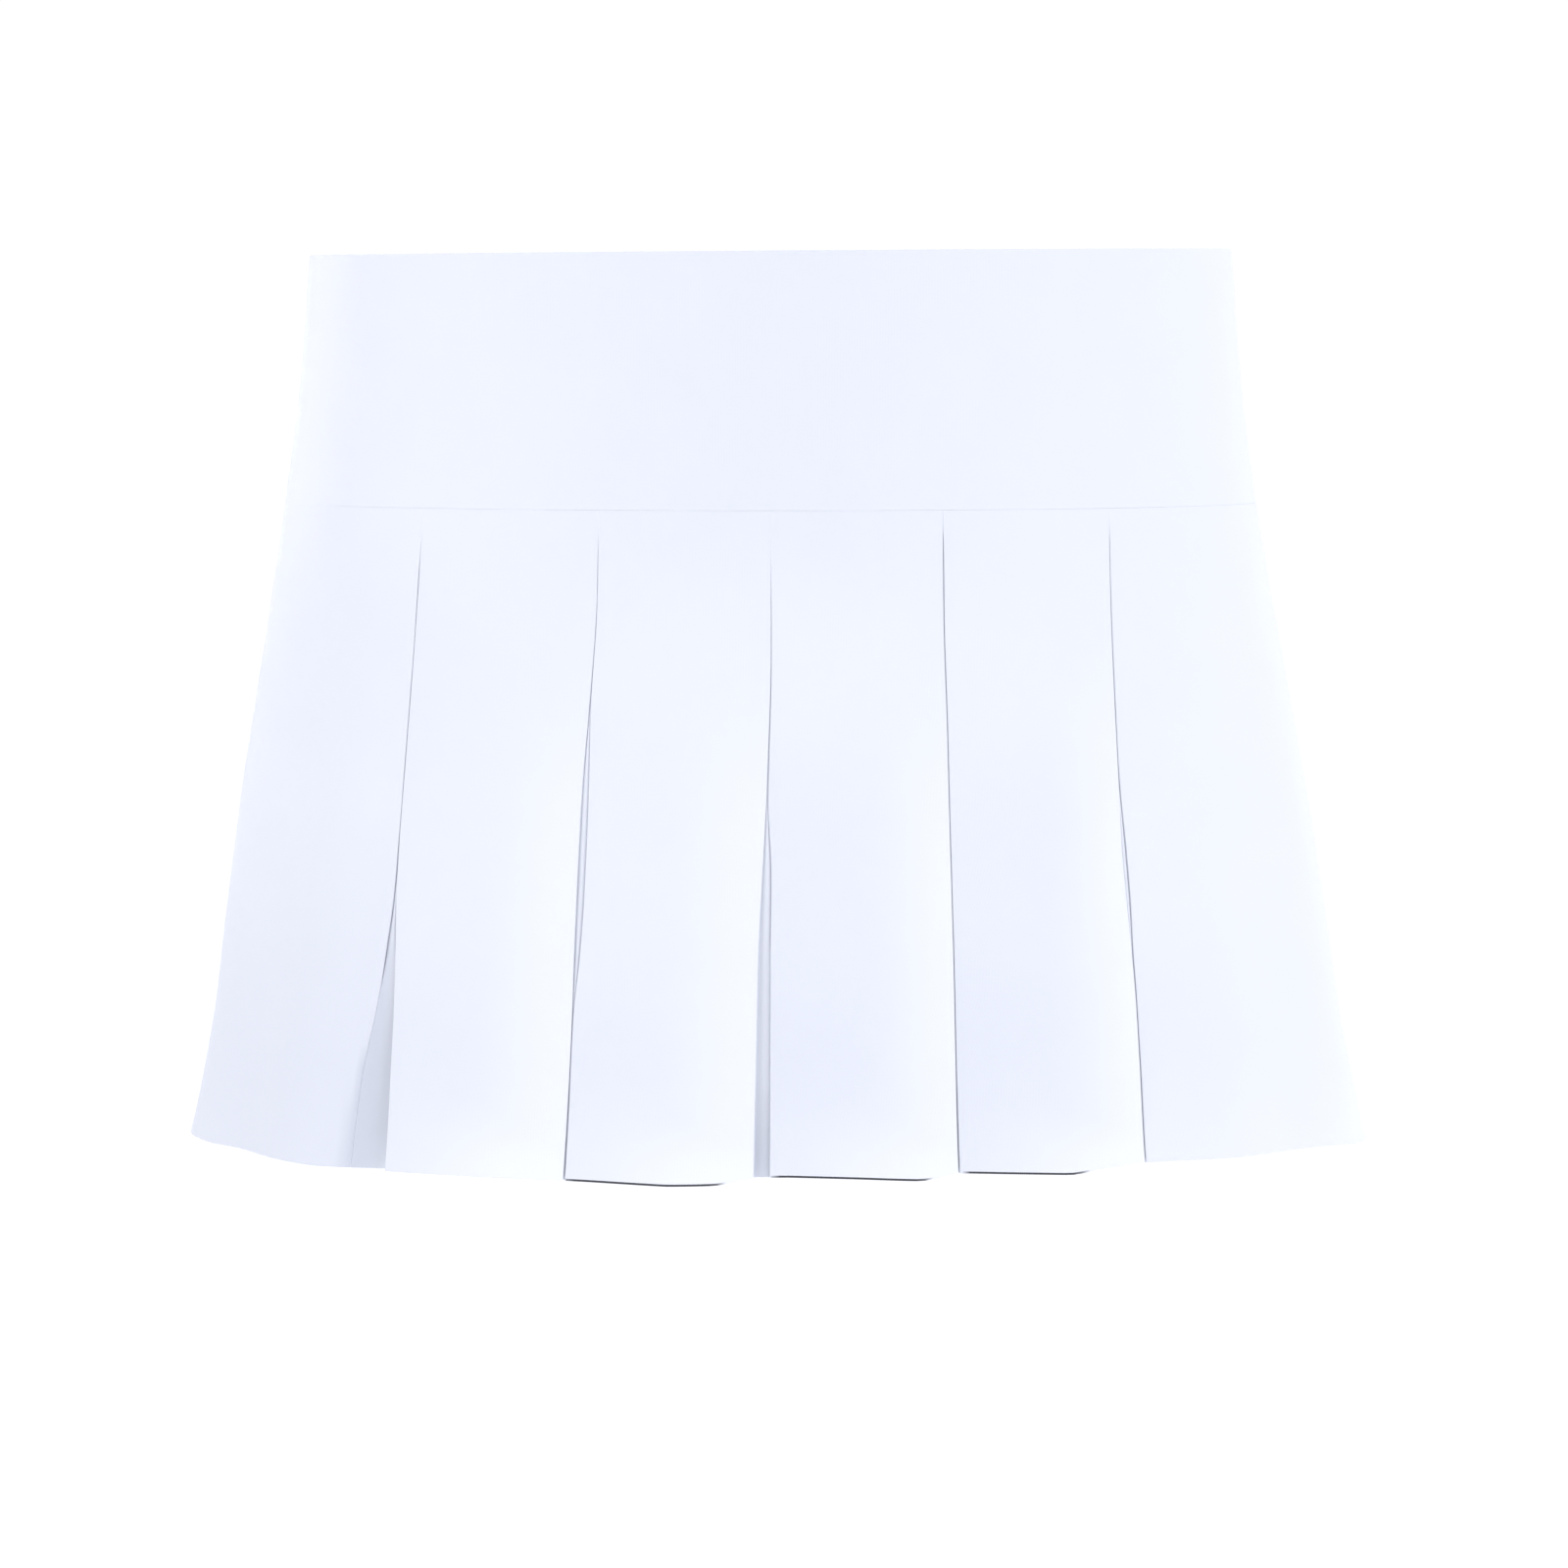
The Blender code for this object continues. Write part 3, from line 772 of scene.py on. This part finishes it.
# How far the hem dips below (+) or rides above (-) its level, across the skirt.
Dip = namedtuple("Dip", "place dip")
HEMS = {
    1: (
        Dip(-0.2085, -0.0038),
        Dip(-0.1980, -0.0020),
        Dip(-0.1886, -0.0018),
        Dip(-0.1736, -0.0005),
        Dip(-0.1590, 0.0007),
        Dip(-0.1170, 0.0010),
        Dip(-0.0900, 0.0010),
        Dip(-0.0625, 0.0017),
        Dip(-0.0356, 0.0026),
        Dip(-0.0181, 0.0021),
        Dip(-0.0060, -0.0003),
        Dip(0.0050, -0.0006),
        Dip(0.0315, 0.0001),
        Dip(0.0525, 0.0008),
        Dip(0.0645, -0.0014),
        Dip(0.0855, -0.0005),
        Dip(0.1045, 0.0002),
        Dip(0.1145, -0.0016),
        Dip(0.1290, -0.0027),
        Dip(0.1545, -0.0025),
        Dip(0.1980, -0.0023),
        Dip(0.2120, -0.0012),
    ),
    -1: (
        Dip(-0.2120, -0.0012),
        Dip(-0.1980, -0.0023),
        Dip(-0.1500, -0.0002),
        Dip(-0.0800, 0.0006),
        Dip(-0.0600, -0.0008),
        Dip(0.0000, 0.0010),
        Dip(0.0350, 0.0014),
        Dip(0.0700, -0.0006),
        Dip(0.1400, 0.0004),
        Dip(0.1886, -0.0012),
        Dip(0.1980, -0.0020),
        Dip(0.2085, -0.0038),
    ),
}
SKIRT_PLEATS = {1: FRONT_PLEATS, -1: BACK_PLEATS}
SKIRT_PANELS = {1: FRONT_PANELS, -1: BACK_PANELS}


def in_hem(drop):
    """How far into the doubled hem a drop is, from 0 above it to 1."""
    return float(eased((drop - HEM_DROP + HEM_TURN) / LAYER_EDGE + 0.5))


def between(low, high, share):
    """The value this share of the way from low to high."""
    return low + (high - low) * share


def into(band, at):
    """How far into a band this is, from 0 before it to 1 past it, with soft ends."""
    return eased((at - band.start) / band.length)


def bend(centre, radius, start, end, side):
    """Points round a fold and the cloth's heading at each. Side is 1 where the cloth turns
    clockwise round the fold's centre, and -1 where it turns the other way."""
    headings = np.linspace(start, end, BEND_STEPS + 1)
    return [
        (centre[0] - side * radius * math.sin(h), centre[1] + side * radius * math.cos(h), h)
        for h in headings
    ]


def straight(start, end, steps):
    """The points that part a straight run into equal steps, without its two ends."""
    return [
        (between(start[0], end[0], k / steps), between(start[1], end[1], k / steps), start[2])
        for k in range(1, steps)
    ]


def tangent(start, end, radii, side):
    """The heading of the straight run that leaves one fold and meets the next."""
    way = (end[0] - start[0], end[1] - start[1])
    run = math.sqrt(math.hypot(*way) ** 2 - radii**2)
    return math.atan2(way[1], way[0]) - side * math.atan2(radii, run)


def rolled(deep):
    """How far in a soft edge has rolled, and the cloth's heading, this far along the roll."""
    return -ROLL_CURVE * deep**2, -math.atan(2 * ROLL_CURVE * deep)


def underlay(middle, gap, depth, sharp, dip, roll):
    """The part of a pleat's underlay that shows between its edges. It bows out where they stand
    a little apart and hangs back where they stand wide apart. Beside a soft left edge it comes
    up to that edge and carries on inwards from it."""
    bow = UNDERLAY_RISE * eased(gap / BOW_GAP) * (1 - into(WIDE_BAND, gap))
    soft = eased(roll / SOFT_ROLL)
    wide = into(WIDE_BAND, gap) * (1 - soft)
    lift = depth - sharp - CLOTH / 2
    share = np.array(UNDERLAY_SHARES)
    across = (share + 1) / 2
    half = max(gap, LEAST_GAP)
    out = bow * (1 - share**2) ** 2 - depth
    out += soft * (depth + dip - UNDERLAY_TUCK) - UNDERLAY_TILT * roll * across
    out += wide * (UNDERLAY_LIFT * lift * across - UNDERLAY_SAG * (1 - across))
    places = middle + share * half
    places[0] = between(places[0], middle - gap + CLOTH * UNDERLAY_TOP, soft)
    heading = np.arctan(np.gradient(out, places))
    heading[0] = between(heading[0], UNDERLAY_STAND, soft)
    points = [tuple(point) for point in zip(places, out, heading)]
    foot = between(middle - UNDERLAY_REACH * half, middle - gap + CLOTH * UNDERLAY_FOOT, soft)
    start = (foot, -depth, UNDERLAY_STAND * soft)
    stop = (middle + UNDERLAY_REACH * half, -depth - UNDERLAY_TILT * roll, 0.0)
    return [start, *points, stop]


def pleat_run(left, right, roll, drop):
    """An inverted box pleat, as (along, out, heading) from its left edge to its right edge. The
    cloth folds under at the left edge, runs back to an inner fold, crosses behind both edges,
    and comes back out at the right edge."""
    low = eased((drop - HEM_DROP + HEM_FOLD_TOP * HEM_TURN) / (HEM_FOLD_GROWTH * HEM_TURN))
    sharp = between(FOLD, HEM_FOLD, low)
    middle = (left + right) / 2
    gap = max(0.0, right - left) / 2
    fall = RECESS * below_yoke(drop) ** 3 * math.sqrt(2 * PLEAT_DEPTH * gap)
    dip, start = rolled(roll)
    depth = sharp * 2 + INNER_FOLD * 2 + fall - dip
    shown = underlay(middle, gap, depth, sharp, dip, roll)
    left_sharp = between(sharp, SOFT_FOLD, eased(roll / SOFT_ROLL))
    left_edge = (left - CLOTH / 2 - left_sharp, dip - left_sharp)
    left_inner = (middle - PLEAT_DEPTH + INNER_FOLD, INNER_FOLD - depth)
    right_inner = (middle + PLEAT_DEPTH - INNER_FOLD, INNER_FOLD + shown[-1][1])
    right_edge = (right + CLOTH / 2 + sharp, -sharp)
    way_in = tangent(left_edge, left_inner, left_sharp + INNER_FOLD, 1)
    way_in -= 2 * math.pi if way_in > 0 else 0
    way_out = tangent(right_inner, right_edge, INNER_FOLD + sharp, -1)
    bends = (
        bend(left_edge, left_sharp, start, way_in, 1),
        bend(left_inner, INNER_FOLD, way_in, 0.0, -1),
        shown,
        bend(right_inner, INNER_FOLD, 0.0, way_out, -1),
        bend(right_edge, sharp, way_out, 0.0, 1),
    )
    points = list(bends[0])
    steps = (LEG_STEPS, UNDERLAY_STEPS, UNDERLAY_STEPS, LEG_STEPS)
    for before, after, count in zip(bends, bends[1:], steps):
        points += straight(before[-1], after[0], count)
        points += after
    return points


def panel_swell(panel, share, drop):
    """How far a panel swells out, at shares of the way across it."""
    height = np.interp(drop, PANEL_DROPS, panel[:4])
    height *= eased((drop - YOKE_DROP) / (PANEL_DROPS[0] - YOKE_DROP))
    skew = math.log(0.5) / math.log(panel.peak)
    return height * np.sin(math.pi * np.clip(share, 0.0, 1.0) ** skew)


def hem_flare(drop):
    """How far the stiff hem turns the cloth in just above it, and out at its edge."""
    down = np.clip((drop - TUCK_BAND.start) / TUCK_BAND.length, 0.0, 1.0)
    kick = max(0.0, (drop - KICK_BAND.start) / KICK_BAND.length)
    return HEM_KICK * kick**2 - HEM_TUCK * math.sin(math.pi * down) ** 2


# How much whiter (+) or less white (-) than PLAIN_BACKING the cloth is painted, and where: painted
# shade and painted light, and in the hem and at the right ends of panels partly the whiteness of the
# layers behind.
YOKE_SHADE_BAND = Band(YOKE_DROP, 0.050)  # the yoke's painted shade and light fade out over this drop
HEM_SHADE_HEIGHT = 1.3  # height of the hem's whiter band, in hem turns: its doubled cloth, with painted light reaching past it
SIDE_HEM = 0.15  # in the hem of the right side panels
PANEL_HEM = 0.55  # in the hem of the other panels
PANEL_HEM_BAND = Band(0.0, 0.75)  # from the left edge of a panel, as a share of its width
LAYERS_AND_LIGHT = 0.36  # painted light at the right end of a panel, where the pleat's layers also lie behind
LAYERS_AND_LIGHT_ACROSS = Band(0.45, 0.55)
LAYERS_AND_LIGHT_DOWN = Band(0.130, 0.080)
LOW_SHADE = -0.22  # painted shade low on the skirt: at the left end of a panel, or at a side panel's inner end
LOW_SHADE_DROP = 0.276  # the drop where that shows most
LOW_SHADE_HEIGHT = 0.030
LEFT_SHADE_ACROSS = Band(0.55, 0.45)  # a panel's painted shade on its left part ends over this share of its width
LEFT_SHADE_DOWN = Band(0.150, 0.050)
SIDE_SHADE_DOWN = Band(0.170, 0.130)  # where painted shade comes over the left side panels, low down
SIDE_SHADE_LEAST = 0.6  # the share of that at their far ends
INSIDE_GAP = 0.0040  # the gap at which the painted shade inside a pleat is full
INSIDE_LEFT = -0.85  # painted shade inside a soft-edged pleat, on its left
INSIDE_RIGHT = 0.65  # and painted light on its right
INSIDE_FOOT = -0.45  # painted shade at the foot of any other open pleat
FOOT_BAND = Band(0.283, 0.030)
ROLL_SHADE = -0.85  # painted shade at the end of a soft edge
ROLL_SHADE_BAND = Band(0.0085, 0.0030)  # the rolls at which that shade appears
ROLL_SHADE_WIDTH = 0.0005  # its width, which grows by a share of any roll past a given one
ROLL_SHADE_GROWTH = 0.8
ROLL_SHADE_FROM = 0.0093
ROLL_SHADE_STOP = 0.0003  # how far before the edge it stops


def painted_shading_and_layers(along, lines, rolls, turn, drop):
    """How white the cloth is painted, from 0 for the cloth by itself, or below it for painted shade,
    to 1 for cloth backed by more cloth or lit by painted light: the pleats' and the hem's layers
    behind it, painted light at the right ends of panels and in the hem, and painted shade on the
    panels and inside the pleats."""
    hem_height = HEM_SHADE_HEIGHT * HEM_TURN
    hem = eased((drop - HEM_DROP + hem_height) / hem_height)
    low_shade = LOW_SHADE * math.exp(-(((drop - LOW_SHADE_DROP) / LOW_SHADE_HEIGHT) ** 2))
    white = PLAIN_BACKING - yoke_shade(along) * (1 - into(YOKE_SHADE_BAND, drop))
    for number in range(0, len(lines), 2):
        start, stop = lines[number], lines[number + 1]
        share = np.clip((along - start) / (stop - start), 0.0, 1.0)
        inward = share if number == 0 else 1 - share
        # Painted shade low on the left side panel.
        if number == (0 if turn > 0 else len(lines) - 2):
            side_shade = into(SIDE_SHADE_DOWN, drop) * between(SIDE_SHADE_LEAST, 1.0, inward)
            panel = -PLAIN_BACKING * side_shade
        elif number in (0, len(lines) - 2):
            panel = SIDE_HEM * hem * (1 - inward) + low_shade * inward**2
        else:
            layers_and_light = LAYERS_AND_LIGHT * into(LAYERS_AND_LIGHT_ACROSS, share) * into(LAYERS_AND_LIGHT_DOWN, drop)
            panel = np.maximum(layers_and_light, PANEL_HEM * hem * into(PANEL_HEM_BAND, share))
            panel += low_shade * (1 - share)
            # Painted shade on the left part of the panel.
            thin = SKIRT_PANELS[turn][number // 2 - 1].thin * into(LEFT_SHADE_DOWN, drop)
            panel -= thin * (1 - into(LEFT_SHADE_ACROSS, share))
        white += np.where((along >= start) & (along <= stop), panel, 0.0)
    # Painted shade inside each open pleat, with painted light on the right inside a soft-edged one,
    # and painted shade where a soft edge rolls in.
    for left, right, roll in zip(lines[1:-1:2], lines[2:-1:2], rolls):
        share = np.clip((along - left) / max(right - left, 1e-6), 0.0, 1.0)
        soft = eased(roll / SOFT_ROLL)
        shade = soft * between(INSIDE_LEFT, INSIDE_RIGHT, share**2) - PLAIN_BACKING
        shade += (1 - soft) * INSIDE_FOOT * into(FOOT_BAND, drop)
        inside = (along > left) & (along < right)
        white += np.where(inside, shade * eased((right - left) / INSIDE_GAP), 0.0)
        width = ROLL_SHADE_WIDTH + ROLL_SHADE_GROWTH * max(0.0, roll - ROLL_SHADE_FROM)
        shade = ROLL_SHADE * into(Band(left - width, width), along) * into(ROLL_SHADE_BAND, roll)
        on_roll = (along > left - width) & (along <= left - ROLL_SHADE_STOP)
        white += np.where(on_roll, shade, 0.0)
    return white


def side_swell(share, drop):
    """The soft waves of a side panel, at shares of the way across it."""
    held = np.clip(share, 0.0, 1.0)
    wave = np.sin(2 * math.pi * SIDE_WAVES * held)
    return SIDE_WAVE * below_yoke(drop) * np.sin(math.pi * held) * wave


@lru_cache(maxsize=None)
def skirt_section(turn, drop):
    """The pleated cloth at one drop. Turn is 1 for the front piece and -1 for the back one."""
    girth = GirthLine(drop)
    lean = turn * hang(drop)
    end = girth.half - STITCH_GAP
    edge = [end - place for place, _ in PINCH_COLUMNS]
    runs, rolls, lines = [], [], [-end]
    for pleat in SKIRT_PLEATS[turn]:
        sides = [smooth_table(pleat, column, drop) for column in ("left", "right")]
        left, right = girth.along(np.array(sides) - lean)
        lines += [left, right]
        rolls.append(max(0.0, smooth_table(pleat, "roll", drop)))
        runs.append(pleat_run(left, right, rolls[-1], drop))
    lines.append(end)

    points = [(-place, 0.0, 0.0) for place in edge[:-1]]
    before = (-edge[-1], 0.0, 0.0)
    for number, run in enumerate(runs):
        points.append(before)
        for place, _, _ in straight(before, run[0], SIDE_STEPS if number == 0 else PANEL_STEPS):
            points.append((place, *rolled(max(0.0, place - run[0][0] + rolls[number]))))
        points += run[:-1]
        before = run[-1]
    points.append(before)
    points += straight(before, (edge[-1], 0.0, 0.0), SIDE_STEPS)
    points += [(place, 0.0, 0.0) for place in reversed(edge)]
    along, out, heading = (np.array(values) for values in zip(*points))

    swell = side_swell((along - lines[0]) / (lines[1] - lines[0]), drop)
    swell += side_swell((along - lines[-2]) / (lines[-1] - lines[-2]), drop)
    for number, panel in enumerate(SKIRT_PANELS[turn]):
        start, stop = lines[2 * number + 2], lines[2 * number + 3]
        swell += panel_swell(panel, (along - start) / (stop - start), drop)
    place, _ = girth.points(along, 0.0)
    faded = eased((drop - YOKE_DROP) / CREASE_FADE)
    swell += crease_height(SKIRT_CREASES[turn], place + lean, drop) * faded
    swell += seam_pull(girth, along, drop) + hem_flare(drop)
    grid, first = np.unique(along, return_index=True)
    slope = np.interp(along, grid, np.gradient(swell[first], grid))
    shares = [share for _, share in PINCH_COLUMNS]
    pinch = np.concatenate([shares, np.ones(len(along) - 2 * len(shares)), shares[::-1]])
    to_fold = np.min(np.abs(along[:, None] - np.array(lines[1:-1])), axis=1)
    press = np.exp(-to_fold / PRESS_WIDTH)
    turned = np.maximum(side_allowance(girth, along), HEM_LAYER * in_hem(drop))
    steps = np.hypot(np.diff(along), np.diff(out))
    cut = np.concatenate([[0.0], np.cumsum(steps)])
    cut -= cut[-1] / 2
    out = out + swell
    heading = heading + np.clip(np.arctan(slope), -STEEPEST_SWELL, STEEPEST_SWELL)
    backing = painted_shading_and_layers(along, lines, rolls, turn, drop)
    return Section(girth, along, out, heading, turned, pinch, press, backing, cut)


HEM_PLACES = 400  # across the skirt, at which the hem's dips are softened
HEM_BLUR = 4  # over how many of them each way


def skirt_level(turn, drop, x):
    """How high the pleated cloth lies at one drop. It dips and rides up most at the hem."""
    rows = HEMS[turn]
    places = [row.place for row in rows]
    dips = [row.dip for row in rows]
    grid = np.linspace(places[0], places[-1], HEM_PLACES)
    soft = np.interp(grid, places, dips)
    kernel = np.exp(-(np.linspace(-2, 2, 2 * HEM_BLUR + 1) ** 2))
    soft = np.convolve(np.pad(soft, HEM_BLUR, "edge"), kernel / kernel.sum(), "valid")
    dip = np.interp(x + turn * hang(drop), grid, soft)
    return -drop - dip * below_yoke(drop) ** 4


skirt_cloth = cloth_finish("white_pleated_jersey", 0.74)
skirt_top = YOKE_DROP + STITCH_GAP + SEAM_EDGE
skirt_bottom = HEM_DROP - (CLOTH + HEM_LAYER) / 2
skirt_extras = rows_round(HEM_DROP - HEM_TURN, LAYER_EDGE, (-1 / 2, 0, 1 / 2))
skirt_extras += rows_round(HEM_DROP - RIM, RIM_EDGE, (-1 / 2, 1 / 2))
skirt_extras += [skirt_top + SEAM_EDGE]
skirt_stations = wall_stations(
    rows_between(skirt_top, skirt_bottom, SKIRT_ROWS, skirt_extras), SEAM_EDGE, None
)
for turn, piece_name, node in ((1, "front_skirt", "skirt_front"), (-1, "back_skirt", "skirt_back")):
    skirt = cloth_piece(
        piece_name, turn, skirt_stations, skirt_section, skirt_level, skirt_cloth, node
    )
